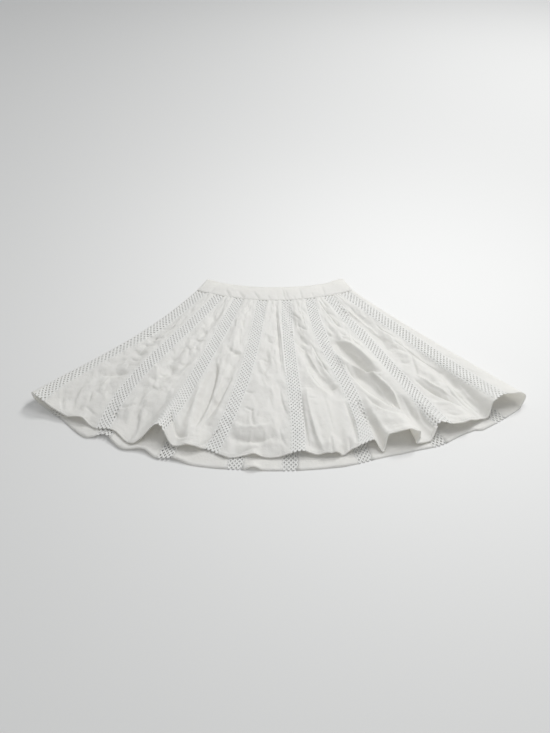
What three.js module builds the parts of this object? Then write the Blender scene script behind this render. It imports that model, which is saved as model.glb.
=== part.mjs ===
// A flared skirt that lies flat on a surface with its front uppermost. Sixteen cotton gores
// alternate with sixteen crochet insertions, and a contoured waistband in two pieces closes the
// top. The waist and the hem are open. The back lies flat on the surface, the front lies over it
// with folds that open into flutes at the hem, and the cloth turns over from one to the other
// in a soft roll down each side.
//
// Millimetres and degrees. +X is to the right, seen from the hem, +Y runs from the hem to the
// waist, and +Z is up from the surface. The origin is on the surface, under the middle of the
// skirt's outline. Left and right are as seen from the hem.
//
// Laid out, the skirt is a fan. A place on it is given by psi, the angle round the point where
// the side edges would meet, and by t, which runs from -1 at the top of the waistband, through
// 0 at the waist seam, to 1 at the hem.

import * as THREE from "three";

// ---- Driving dimensions ----

const CLOTH = 1.2; // wall of the gores and insertions
const BAND_CLOTH = 2.0; // wall of the waistband, which is folded double
const SEAM = 0.3; // clear gap between two sewn pieces
const LACE_WIDTH = 30; // crochet insertion, edge to edge
const FAN = { x: -5.69, y: 485.85 }; // where the side edges would meet
const MEAN = { top: 258, seam: 305, hem: 748 }; // fan radius of each cross line, for widths
const TOP = { centre: 247, edge: 273 }; // fan radius of the waistband's top
const WAIST = { centre: 297, edge: 317 }; // fan radius of the waist seam
const HEM = { front: 729, back: 755, left: 756, right: 771 }; // fan radius of the hem: at the
// centre of each layer, and at each side, where the layers meet

// Height of the front's cloth over the surface, away from the folds.
const BODY_RISE = { waist: 8.4, upper: 11, lower: 13, hem: 12 };
const LAYER_GAP = 1.0; // least clear space between front and back

// Gathers where a gore meets the waistband.
const GATHERS_PER_GORE = 2;
const GATHER_HEIGHT = 1.8;
const GATHER_REACH = 0.15;

// The sides. Each row holds a value at the waistband's top, the waist seam, a third and two
// thirds of the way down, and the hem: the fan angle of the outline, the radius of the roll in
// which the cloth turns over, and how far in the front stays up on that roll before it comes
// down over FALL millimetres.
const SIDES = {
  left: {
    sign: -1,
    edge: { top: 36.9, waist: 35.8, upper: 35.6, lower: 37.3, hem: 38.5 },
    roll: { top: 5, waist: 3, upper: 4, lower: 7, hem: 15 },
    shelf: { top: 2, waist: 4, upper: 6, lower: 8, hem: 12 },
  },
  right: {
    sign: 1,
    edge: { top: 37.2, waist: 35.7, upper: 37.2, lower: 38.1, hem: 38.7 },
    roll: { top: 6, waist: 3.5, upper: 6, lower: 11, hem: 18 },
    shelf: { top: 2, waist: 4, upper: 10, lower: 24, hem: 40 },
  },
};
const FALL = 34;

// Insertions in order round the skirt, with the fan angle of each one's centre line.
const INSERTIONS = [
  { name: "front_1", front: true, waist: -33.6, upper: -34.0, lower: -36.2, hem: -36.4 },
  { name: "front_2", front: true, waist: -25.2, upper: -26.4, lower: -27.2, hem: -25.5 },
  { name: "front_3", front: true, waist: -16.1, upper: -16.2, lower: -16.6, hem: -17.3 },
  { name: "front_4", front: true, waist: -5.8, upper: -5.9, lower: -6.9, hem: -9.1 },
  { name: "front_5", front: true, waist: 5.1, upper: 3.8, lower: 3.8, hem: 3.3 },
  { name: "front_6", front: true, waist: 15.6, upper: 13.5, lower: 14.2, hem: 13.0 },
  { name: "front_7", front: true, waist: 23.8, upper: 24.5, lower: 24.7, hem: 24.9 },
  { name: "front_8", front: true, waist: 31.3, upper: 33.6, lower: 34.2, hem: 35.0 },
  { name: "back_1", front: false, waist: 31.0, upper: 32.2, lower: 33.0, hem: 33.6 },
  { name: "back_2", front: false, waist: 22.2, upper: 22.6, lower: 22.9, hem: 23.3 },
  { name: "back_3", front: false, waist: 12.6, upper: 12.5, lower: 12.4, hem: 12.3 },
  { name: "back_4", front: false, waist: 3.6, upper: 2.8, lower: 2.4, hem: 2.0 },
  { name: "back_5", front: false, waist: -5.0, upper: -5.1, lower: -5.2, hem: -5.4 },
  { name: "back_6", front: false, waist: -14.2, upper: -14.6, lower: -14.9, hem: -15.1 },
  { name: "back_7", front: false, waist: -23.0, upper: -23.8, lower: -24.4, hem: -24.9 },
  { name: "back_8", front: false, waist: -30.8, upper: -31.8, lower: -33.0, hem: -33.8 },
];
const INSERTION_COUNT = INSERTIONS.length;

// Crests, shoulders and troughs along each hem, from left to right: where the hem is at psi, the
// height of the cloth there, how far it reaches past the plain hem, how far it leans to the
// right, and the t at which it starts to rise out of the plain cloth. The front's height is over
// the surface and the back's over the height at which it lies.
const FRONT_HEM = [
  { psi: -35.0, height: 15, reach: 4, lean: 0, start: 0.7 },
  { psi: -31.8, height: 11, reach: 4, lean: 0, start: 0.7 },
  { psi: -29.4, height: 13, reach: -4, lean: 0, start: 0.74 },
  { psi: -26.8, height: 6, reach: 2, lean: 0, start: 0.74 },
  { psi: -24.1, height: 5, reach: -4, lean: 0, start: 0.78 },
  { psi: -20.4, height: 3, reach: 11, lean: -2, start: 0.76 },
  { psi: -17.5, height: 39, reach: -22, lean: 3, start: 0.6 },
  { psi: -14.4, height: 9, reach: -2, lean: 0, start: 0.7 },
  { psi: -12.2, height: 18, reach: -4, lean: 0, start: 0.74 },
  { psi: -10.0, height: 5, reach: -8, lean: 0, start: 0.76 },
  { psi: -6.4, height: 3, reach: 4, lean: 0, start: 0.78 },
  { psi: -3.4, height: 7, reach: -3, lean: 0, start: 0.84 },
  { psi: -0.6, height: 3, reach: 1, lean: 0, start: 0.84 },
  { psi: 3.9, height: 14, reach: -6, lean: 0, start: 0.78 },
  { psi: 6.7, height: 3, reach: 0, lean: -4, start: 0.55 },
  { psi: 8.6, height: 14, reach: 1, lean: 0, start: 0.55 },
  { psi: 9.6, height: 5, reach: 3, lean: 0, start: 0.76 },
  { psi: 11.0, height: 16, reach: -3, lean: 0, start: 0.72 },
  { psi: 14.3, height: 20, reach: -11, lean: 0, start: 0.78 },
  { psi: 15.2, height: 3, reach: 8, lean: 0, start: 0.7 },
  { psi: 16.5, height: 27, reach: -12, lean: 0, start: 0.66 },
  { psi: 18.9, height: 38, reach: -6, lean: 4, start: 0.62 },
  { psi: 20.0, height: 33, reach: 0, lean: 8, start: 0.62 },
  { psi: 20.8, height: 20, reach: 4, lean: -2, start: 0.64 },
  { psi: 21.6, height: 8, reach: 6, lean: -20, start: 0.68 },
  { psi: 22.6, height: 3, reach: 6, lean: -5, start: 0.74 },
  { psi: 24.6, height: 27, reach: -14, lean: 0, start: 0.72 },
  { psi: 26.2, height: 25, reach: -4, lean: 0, start: 0.68 },
  { psi: 28.2, height: 25, reach: 0, lean: 0, start: 0.6 },
  { psi: 30.6, height: 13, reach: -3, lean: 0, start: 0.55 },
  { psi: 32.2, height: 8, reach: -2, lean: 0, start: 0.55 },
  { psi: 33.4, height: 26, reach: -14, lean: 0, start: 0.5 },
  { psi: 35.4, height: 36, reach: -18, lean: 0, start: 0.5 },
  { psi: 37.4, height: 36, reach: -10, lean: 0, start: 0.5 },
];
const BACK_HEM = [
  { psi: -36.5, height: 0, reach: 0, lean: 0, start: 0.86 },
  { psi: -33.0, height: 0, reach: 2, lean: 0, start: 0.86 },
  { psi: -27.3, height: 1, reach: 12, lean: 0, start: 0.84 },
  { psi: -24.6, height: 7, reach: -6, lean: 0, start: 0.82 },
  { psi: -21.4, height: 2, reach: 6, lean: 0, start: 0.84 },
  { psi: -18.4, height: 6, reach: -5, lean: 0, start: 0.84 },
  { psi: -16.2, height: 2, reach: 4, lean: 0, start: 0.88 },
  { psi: -13.6, height: 5, reach: -2, lean: 0, start: 0.88 },
  { psi: -11.0, height: 0, reach: 3, lean: 0, start: 0.88 },
  { psi: -4.4, height: 0, reach: 0, lean: 0, start: 0.94 },
  { psi: -2.9, height: 9, reach: -3, lean: 0, start: 0.94 },
  { psi: -1.4, height: 0, reach: 0, lean: 0, start: 0.94 },
  { psi: 9.0, height: 0, reach: 0, lean: 0, start: 0.88 },
  { psi: 15.0, height: 0, reach: -5, lean: 0, start: 0.88 },
  { psi: 19.0, height: 0, reach: -3, lean: 0, start: 0.88 },
  { psi: 23.5, height: 0, reach: 2, lean: 0, start: 0.88 },
  { psi: 27.5, height: 0, reach: -2, lean: 0, start: 0.88 },
  { psi: 29.2, height: 0, reach: -1, lean: 0, start: 0.86 },
  { psi: 30.3, height: 0, reach: 6, lean: 0, start: 0.86 },
  { psi: 36.0, height: 0, reach: 5, lean: 0, start: 0.86 },
];
const OPENING = 1.5; // how sharply the hem's waves open towards it

// Folds in the front, from psi0 at t0 to psi1 at t1. Each is width0 wide at its start and width1
// at its end, and height is up (+) or down (-).
const FRONT_FOLDS = [
  { psi0: -31.6, t0: 0.22, psi1: -32.6, t1: 0.6, width0: 34, width1: 44, height: -6 },
  { psi0: -33.4, t0: 0.5, psi1: -30.6, t1: 0.86, width0: 34, width1: 60, height: -5 },
  { psi0: -20.6, t0: 0.06, psi1: -21.0, t1: 0.42, width0: 30, width1: 34, height: -6 },
  { psi0: -23.0, t0: 0.4, psi1: -22.4, t1: 0.72, width0: 34, width1: 50, height: -6 },
  { psi0: -23.6, t0: 0.76, psi1: -21.6, t1: 0.99, width0: 26, width1: 34, height: -5 },
  { psi0: -13.8, t0: 0.42, psi1: -12.2, t1: 0.96, width0: 26, width1: 34, height: -10 },
  { psi0: -9.4, t0: 0.46, psi1: -11.4, t1: 0.94, width0: 24, width1: 30, height: -7 },
  { psi0: -11.6, t0: 0.08, psi1: -11.6, t1: 0.5, width0: 30, width1: 50, height: 4 },
  { psi0: 5.4, t0: 0.02, psi1: 7.6, t1: 0.46, width0: 28, width1: 34, height: -7 },
  { psi0: 7.4, t0: 0.36, psi1: 11.9, t1: 0.74, width0: 34, width1: 36, height: -11 },
  { psi0: 5.6, t0: 0.66, psi1: 7.0, t1: 1, width0: 36, width1: 40, height: -8 },
  { psi0: 15.4, t0: 0.28, psi1: 22.0, t1: 0.94, width0: 38, width1: 46, height: -17 },
  { psi0: 15.9, t0: 0.5, psi1: 19.8, t1: 0.9, width0: 24, width1: 30, height: -9 },
  { psi0: 18.4, t0: 0.2, psi1: 24.6, t1: 0.92, width0: 40, width1: 60, height: 9 },
  { psi0: 27.3, t0: 0.06, psi1: 28.2, t1: 0.58, width0: 32, width1: 44, height: -9 },
  { psi0: 31.2, t0: 0.44, psi1: 32.6, t1: 0.96, width0: 36, width1: 50, height: -6 },
];

// Facets of each piece.
const LENGTHWISE = 16;
const ACROSS = { insertion: 2, front: 12, back: 4, side: 14, band: 26 };
const BAND_LENGTHWISE = 2;

// ---- Helpers ----

const { lerp, degToRad, radToDeg, smoothstep } = THREE.MathUtils;

// A row's value at t, on the smooth curve through its four values below the waist seam, and on
// the straight line between its two values on the waistband.
function along(row, t) {
  if (t < 0) return lerp(row.waist, row.top ?? row.waist, -t);
  const third = 3 * t;
  return (
    (row.waist * (1 - third) * (2 - third) * (3 - third)) / 6 +
    (row.upper * third * (2 - third) * (3 - third)) / 2 +
    (row.lower * third * (third - 1) * (3 - third)) / 2 +
    (row.hem * third * (third - 1) * (third - 2)) / 6
  );
}

function meanRadius(t) {
  return t < 0 ? lerp(MEAN.seam, MEAN.top, -t) : lerp(MEAN.seam, MEAN.hem, t);
}

// Never less than floor, and with no corner where it meets it.
function atLeast(value, floor) {
  const over = value - floor;
  return floor + (over + Math.sqrt(over * over + 1)) / 2;
}

// How a hem's crests and troughs act on the cloth at psi and t. open is 0 where the cloth is
// plain and 1 at the hem.
function hemWave(hem, psi, t) {
  const next = hem.findIndex((row) => row.psi > psi);
  const to = hem[next < 0 ? hem.length - 1 : next];
  const from = hem[next < 0 ? hem.length - 1 : Math.max(next - 1, 0)];
  const share = from === to ? 0 : smoothstep(psi, from.psi, to.psi);
  const start = lerp(from.start, to.start, share);
  const open = Math.max((t - start) / (1 - start), 0) ** OPENING;
  return {
    open,
    height: lerp(from.height, to.height, share),
    reach: lerp(from.reach, to.reach, share) * open,
    lean: lerp(from.lean, to.lean, share) * open,
  };
}

// Height of one fold at psi and t: a hump across it that swells and fades along it.
function foldHeight(fold, psi, t) {
  const run = (t - fold.t0) / (fold.t1 - fold.t0);
  if (run <= 0 || run >= 1) return 0;
  const offset = degToRad(psi - lerp(fold.psi0, fold.psi1, run)) * meanRadius(t);
  const across = (2 * offset) / lerp(fold.width0, fold.width1, run);
  if (Math.abs(across) >= 1) return 0;
  return (fold.height * Math.sin(Math.PI * run) * (1 + Math.cos(Math.PI * across))) / 2;
}

// ---- The cloth's middle surface ----

// Fan radius at psi and t, with the hem's centre at the radius given.
function fanRadius(psi, t, hemCentre) {
  const side = psi < 0 ? SIDES.left : SIDES.right;
  const out = Math.min(Math.abs(psi) / along(side.edge, t), 1) ** 2;
  const seam = lerp(WAIST.centre, WAIST.edge, out);
  if (t < 0) return lerp(seam, lerp(TOP.centre, TOP.edge, out), -t);
  return lerp(seam, lerp(hemCentre, psi < 0 ? HEM.left : HEM.right, out), t);
}

// Distance along the cloth from the roll's outermost line, which lies at the outline, to the
// place at psi on one layer.
function clothDistance(side, psi, t) {
  const radius = along(side.roll, t);
  const inward = degToRad(along(side.edge, t) - side.sign * psi) * meanRadius(t);
  if (inward < radius) return radius * Math.acos(1 - Math.max(inward, 0) / radius);
  return inward + radius * (Math.PI / 2 - 1);
}

// The point of the cloth at distance s from a side's outermost line, along the front where s is
// positive and along the back where it is negative. lift is an extra height.
function clothPoint(side, s, t, thickness, lift = 0) {
  const radius = along(side.roll, t);
  const quarter = (radius * Math.PI) / 2;
  const turned = Math.min(Math.abs(s), quarter) / radius;
  const flat = Math.max(Math.abs(s) - quarter, 0);
  const inward = radius * (1 - Math.cos(turned)) + flat;
  const psi = side.sign * (along(side.edge, t) - radToDeg(inward / meanRadius(t)));
  const front = s > 0;
  const lying = thickness / 2;
  const settled = smoothstep(flat, 0, FALL); // 0 on the roll, 1 on flat cloth
  const loose = smoothstep(Math.abs(s), 0, FALL); // 0 at the outermost line
  const under = hemWave(BACK_HEM, psi, t);
  const raised = under.height * under.open;
  let height = lying + radius * (1 + Math.sign(s) * Math.sin(turned));
  let wave = under;
  if (front) {
    wave = hemWave(FRONT_HEM, psi, t);
    const shelf = along(side.shelf, t);
    const down = smoothstep(flat, shelf, shelf + FALL);
    const body = lerp(along(BODY_RISE, t), wave.height, wave.open);
    const folds = FRONT_FOLDS.reduce((sum, fold) => sum + foldHeight(fold, psi, t), 0);
    const laid = atLeast(lerp(height, body, down) + folds, lying + raised + CLOTH + LAYER_GAP);
    height = lerp(height, laid, settled);
  } else {
    height += settled * raised;
  }
  const angle = degToRad(psi) + (loose * wave.lean) / meanRadius(t);
  const fan = fanRadius(psi, t, front ? HEM.front : HEM.back) + loose * wave.reach;
  return new THREE.Vector3(
    FAN.x + fan * Math.sin(angle),
    FAN.y - fan * Math.cos(angle),
    height + lift,
  );
}

// ---- Pieces ----

// A closed wall of cloth round a middle surface. place(u, v) is a point of that surface, u goes
// round the skirt and v goes down it, both from 0 to 1.
function wall(place, across, lengthwise, thickness, station = (v) => v) {
  const step = 1e-3;
  const layers = [[], []];
  for (let j = 0; j <= lengthwise; j++) {
    for (let i = 0; i <= across; i++) {
      const u = i / across;
      const v = station(j / lengthwise);
      const middle = place(u, v);
      const du = place(u + step, v).sub(place(u - step, v));
      const dv = place(u, v + step).sub(place(u, v - step));
      const out = dv.cross(du).setLength(thickness / 2);
      layers[0].push(middle.clone().add(out));
      layers[1].push(middle.clone().sub(out));
    }
  }
  const row = across + 1;
  const inner = layers[0].length;
  const index = [];
  const quad = (a, b, c, d) => index.push(a, b, c, a, c, d);
  for (let j = 0; j < lengthwise; j++) {
    for (let i = 0; i < across; i++) {
      const a = j * row + i;
      quad(a, a + row, a + row + 1, a + 1);
      quad(inner + a, inner + a + 1, inner + a + row + 1, inner + a + row);
    }
    const left = j * row;
    const right = left + across;
    quad(left, inner + left, inner + left + row, left + row);
    quad(right, right + row, inner + right + row, inner + right);
  }
  const last = lengthwise * row;
  for (let i = 0; i < across; i++) {
    quad(i, i + 1, inner + i + 1, inner + i);
    quad(last + i, inner + last + i, inner + last + i + 1, last + i + 1);
  }
  const geometry = new THREE.BufferGeometry();
  geometry.setFromPoints([...layers[0], ...layers[1]]);
  geometry.setIndex(index);
  geometry.computeVertexNormals();
  return geometry;
}

// Rows of facets stand closer together towards the hem, where the flutes open.
function towardsHem(v) {
  return lerp(v, 1 - (1 - v) ** 1.6, 0.6);
}

// Signed distance of an insertion's centre line from a side's outermost line.
function centreLine(side, insertion, t) {
  const distance = clothDistance(side, along(insertion, t), t);
  return insertion.front ? distance : -distance;
}

// An insertion of the same width all the way down.
function insertionGeometry(side, insertion) {
  const place = (u, v) => {
    const centre = centreLine(side, insertion, v);
    const s = centre - side.sign * (u - 0.5) * LACE_WIDTH;
    return clothPoint(side, s, v, CLOTH);
  };
  return wall(place, ACROSS.insertion, LENGTHWISE, CLOTH, towardsHem);
}

// A gore from one insertion to the next, gathered at the waist.
function goreGeometry(side, before, after, across) {
  const place = (u, v) => {
    const from = centreLine(side, before, v);
    const to = centreLine(side, after, v);
    const trim = Math.sign(to - from) * (LACE_WIDTH / 2 + SEAM);
    const fade = 1 - smoothstep(v, 0, GATHER_REACH);
    const gather = GATHER_HEIGHT * fade * Math.sin(GATHERS_PER_GORE * Math.PI * u) ** 2;
    return clothPoint(side, lerp(from + trim, to - trim, u), v, CLOTH, gather);
  };
  return wall(place, across, LENGTHWISE, CLOTH, towardsHem);
}

// Half of the waistband, from one side's outermost line to the other's.
function bandGeometry(front) {
  const place = (u, v) => {
    const t = v - 1 - SEAM / (MEAN.seam - MEAN.top);
    const side = u < 0.5 === front ? SIDES.left : SIDES.right;
    const share = Math.min(u, 1 - u);
    const { left, right } = SIDES;
    const width = clothDistance(left, 0, t) + clothDistance(right, 0, t) - SEAM;
    const s = share * width + SEAM / 2;
    return clothPoint(side, front ? s : -s, t, BAND_CLOTH);
  };
  return wall(place, ACROSS.band, BAND_LENGTHWISE, BAND_CLOTH);
}

// ---- The skirt ----

const cotton = new THREE.MeshStandardMaterial({ color: 0xf1f1ec, roughness: 0.9, metalness: 0 });
const crochet = new THREE.MeshStandardMaterial({ color: 0xe9e9e2, roughness: 0.95, metalness: 0 });
for (const material of [cotton, crochet]) material.side = THREE.DoubleSide;

const skirt = new THREE.Group();

function add(name, geometry, material) {
  const mesh = new THREE.Mesh(geometry, material);
  mesh.name = name;
  skirt.add(mesh);
}

// The side from which a piece's distances are measured: the nearer one.
function nearerSide(insertion) {
  return insertion.hem < 0 ? SIDES.left : SIDES.right;
}

INSERTIONS.forEach((insertion, k) => {
  const next = INSERTIONS[(k + 1) % INSERTION_COUNT];
  const side = nearerSide(insertion);
  add(`insertion_${insertion.name}`, insertionGeometry(side, insertion), crochet);
  if (insertion.front === next.front) {
    const across = insertion.front ? ACROSS.front : ACROSS.back;
    add(`gore_${insertion.name}`, goreGeometry(side, insertion, next, across), cotton);
  } else {
    const name = insertion.front ? "gore_side_right" : "gore_side_left";
    add(name, goreGeometry(side, insertion, next, ACROSS.side), cotton);
  }
});
add("waistband_front", bandGeometry(true), cotton);
add("waistband_back", bandGeometry(false), cotton);

export default skirt;
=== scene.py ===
"""A white cotton skirt of gores and crochet insertions, laid flat with its front uppermost.

The skirt's middle surface is worked out by the same functions and sizes as its solids, in
millimetres and degrees, and finer creases and crumpling are added to it. A place on the cloth is
given by its side (left or right), by s, the distance along the cloth from that side's outermost
line (positive along the front and negative along the back), and by t, which runs from -1 at the
top of the waistband, through 0 at the waist seam, to 1 at the hem. psi is the angle round the
point where the side edges would meet. Meshes are turned into metres as they are made.
"""

import math

import bpy
import numpy as np
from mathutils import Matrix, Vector


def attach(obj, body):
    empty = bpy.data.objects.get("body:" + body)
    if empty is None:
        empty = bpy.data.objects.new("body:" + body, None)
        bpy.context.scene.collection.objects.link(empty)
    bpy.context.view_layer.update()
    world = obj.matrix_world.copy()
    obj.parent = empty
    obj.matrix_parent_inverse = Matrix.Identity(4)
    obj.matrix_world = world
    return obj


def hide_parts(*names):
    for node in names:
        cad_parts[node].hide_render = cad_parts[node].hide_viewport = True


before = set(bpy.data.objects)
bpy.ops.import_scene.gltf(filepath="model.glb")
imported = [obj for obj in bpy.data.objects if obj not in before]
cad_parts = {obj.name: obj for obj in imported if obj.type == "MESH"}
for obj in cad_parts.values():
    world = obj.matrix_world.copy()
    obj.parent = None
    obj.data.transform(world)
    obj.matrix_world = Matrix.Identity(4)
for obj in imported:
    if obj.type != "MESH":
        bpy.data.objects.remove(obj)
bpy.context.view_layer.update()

# ---- Sizes ----

MM = 0.001
WALL = 1.2  # wall of the gores' and insertions' solids
BAND_WALL = 2.0  # wall of the waistband's solids
CLOTH = 0.7  # shown thickness of the cotton
HEM_CLOTH = 1.7  # shown thickness of the turned-up hem
HEM_DEPTH = 6.5
BAND_CLOTH = 1.9  # shown thickness of the waistband
LACE_WIDTH = 30
SEAM_ALLOWANCE = 2.5  # how far the cotton runs under an insertion's edge
LAYER_GAP = 1.0  # least room between the front and the back

FAN = (-5.69, 485.85)  # the point where the side edges would meet
MEAN = {"top": 258, "seam": 305, "hem": 748}  # mean distances from that point
LENGTH = MEAN["hem"] - MEAN["seam"]
# Distances from that point in the middle and at the sides.
TOP = {"centre": 247, "edge": 273}
WAIST = {"centre": 297, "edge": 317}
HEM = {"front": 729, "back": 755, "left": 756, "right": 771}
BODY_RISE = {"waist": 8.4, "upper": 11, "lower": 13, "hem": 12}
FALL = 34  # distance over which the front comes down from a rolled side
OPENING = 1.5  # how late a flute opens on its way to the hem

# Each side's outermost line as a fan angle, the radius of its roll, and the width beside the roll
# over which the front stays up.
LEFT = {
    "sign": -1,
    "edge": {"top": 36.9, "waist": 35.8, "upper": 35.6, "lower": 37.3, "hem": 38.5},
    "roll": {"top": 5, "waist": 3, "upper": 4, "lower": 7, "hem": 15},
    "shelf": {"top": 2, "waist": 4, "upper": 6, "lower": 8, "hem": 12},
}
RIGHT = {
    "sign": 1,
    "edge": {"top": 37.2, "waist": 35.7, "upper": 37.2, "lower": 38.1, "hem": 38.7},
    "roll": {"top": 6, "waist": 3.5, "upper": 6, "lower": 11, "hem": 18},
    "shelf": {"top": 2, "waist": 4, "upper": 10, "lower": 24, "hem": 40},
}

# Insertions in order round the skirt: the fan angle of each centre line.
INSERTION_COLUMNS = ("waist", "upper", "lower", "hem")
INSERTIONS = {
    "front_1": (-33.6, -34.0, -36.2, -36.4),
    "front_2": (-25.2, -26.4, -27.2, -25.5),
    "front_3": (-16.1, -16.2, -16.6, -17.3),
    "front_4": (-5.8, -5.9, -6.9, -9.1),
    "front_5": (5.1, 3.8, 3.8, 3.3),
    "front_6": (15.6, 13.5, 14.2, 13.0),
    "front_7": (23.8, 24.5, 24.7, 24.9),
    "front_8": (31.3, 33.6, 34.2, 35.0),
    "back_1": (31.0, 32.2, 33.0, 33.6),
    "back_2": (22.2, 22.6, 22.9, 23.3),
    "back_3": (12.6, 12.5, 12.4, 12.3),
    "back_4": (3.6, 2.8, 2.4, 2.0),
    "back_5": (-5.0, -5.1, -5.2, -5.4),
    "back_6": (-14.2, -14.6, -14.9, -15.1),
    "back_7": (-23.0, -23.8, -24.4, -24.9),
    "back_8": (-30.8, -31.8, -33.0, -33.8),
}

# Crests and troughs along each hem, from left to right: the fan angle of each, its height above
# the floor, how far it reaches out and leans aside, and the t at which it starts.
HEM_COLUMNS = ("psi", "height", "reach", "lean", "start")
FRONT_HEM = [
    (-35.0, 15, 4, 0, 0.70),
    (-31.8, 11, 4, 0, 0.70),
    (-29.4, 13, -4, 0, 0.74),
    (-26.8, 6, 2, 0, 0.74),
    (-24.1, 5, -4, 0, 0.78),
    (-20.4, 3, 11, -2, 0.76),
    (-17.5, 39, -22, 3, 0.60),
    (-14.4, 9, -2, 0, 0.70),
    (-12.2, 18, -4, 0, 0.74),
    (-10.0, 5, -8, 0, 0.76),
    (-6.4, 3, 4, 0, 0.78),
    (-3.4, 7, -3, 0, 0.84),
    (-0.6, 3, 1, 0, 0.84),
    (3.9, 14, -6, 0, 0.78),
    (6.7, 3, 0, -4, 0.55),
    (8.6, 14, 1, 0, 0.55),
    (9.6, 5, 3, 0, 0.76),
    (11.0, 16, -3, 0, 0.72),
    (14.3, 20, -11, 0, 0.78),
    (15.2, 3, 8, 0, 0.70),
    (16.5, 27, -12, 0, 0.66),
    (18.9, 38, -6, 4, 0.62),
    (20.0, 33, 0, 8, 0.62),
    (20.8, 20, 4, -2, 0.64),
    (21.6, 8, 6, -20, 0.68),
    (22.6, 3, 6, -5, 0.74),
    (24.6, 27, -14, 0, 0.72),
    (26.2, 25, -4, 0, 0.68),
    (28.2, 25, 0, 0, 0.60),
    (30.6, 13, -3, 0, 0.55),
    (32.2, 8, -2, 0, 0.55),
    (33.4, 26, -14, 0, 0.50),
    (35.4, 36, -18, 0, 0.50),
    (37.4, 36, -10, 0, 0.50),
]
BACK_HEM = [
    (-36.5, 0, 0, 0, 0.86),
    (-33.0, 0, 2, 0, 0.86),
    (-27.3, 1, 12, 0, 0.84),
    (-24.6, 7, -6, 0, 0.82),
    (-21.4, 2, 6, 0, 0.84),
    (-18.4, 6, -5, 0, 0.84),
    (-16.2, 2, 4, 0, 0.88),
    (-13.6, 5, -2, 0, 0.88),
    (-11.0, 0, 3, 0, 0.88),
    (-4.4, 0, 0, 0, 0.94),
    (-2.9, 9, -3, 0, 0.94),
    (-1.4, 0, 0, 0, 0.94),
    (9.0, 0, 0, 0, 0.88),
    (15.0, 0, -5, 0, 0.88),
    (19.0, 0, -3, 0, 0.88),
    (23.5, 0, 2, 0, 0.88),
    (27.5, 0, -2, 0, 0.88),
    (29.2, 0, -1, 0, 0.86),
    (30.3, 0, 6, 0, 0.86),
    (36.0, 0, 5, 0, 0.86),
]

# The front's largest folds, as on the solids: where each starts and ends, its widths there in
# millimetres, and its height.
FOLD_COLUMNS = ("psi0", "t0", "psi1", "t1", "width0", "width1", "height")
FOLDS = [
    (-31.6, 0.22, -32.6, 0.60, 34, 44, -6),
    (-33.4, 0.50, -30.6, 0.86, 34, 60, -5),
    (-20.6, 0.06, -21.0, 0.42, 30, 34, -6),
    (-23.0, 0.40, -22.4, 0.72, 34, 50, -6),
    (-23.6, 0.76, -21.6, 0.99, 26, 34, -5),
    (-13.8, 0.42, -12.2, 0.96, 26, 34, -10),
    (-9.4, 0.46, -11.4, 0.94, 24, 30, -7),
    (-11.6, 0.08, -11.6, 0.50, 30, 50, 4),
    (5.4, 0.02, 7.6, 0.46, 28, 34, -7),
    (7.4, 0.36, 11.9, 0.74, 34, 36, -11),
    (5.6, 0.66, 7.0, 1.00, 36, 40, -8),
    (15.4, 0.28, 22.0, 0.94, 38, 46, -17),
    (15.9, 0.50, 19.8, 0.90, 24, 30, -9),
    (18.4, 0.20, 24.6, 0.92, 40, 60, 9),
    (27.3, 0.06, 28.2, 0.58, 32, 44, -9),
    (31.2, 0.44, 32.6, 0.96, 36, 50, -6),
]

# Softer folds that only the fine cloth has, in the same columns.
SOFT_FOLDS = [
    (30.8, 0.40, 31.6, 0.97, 64, 84, 7),
    (-14.6, 0.60, -13.0, 0.98, 30, 34, 3),
]

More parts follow.
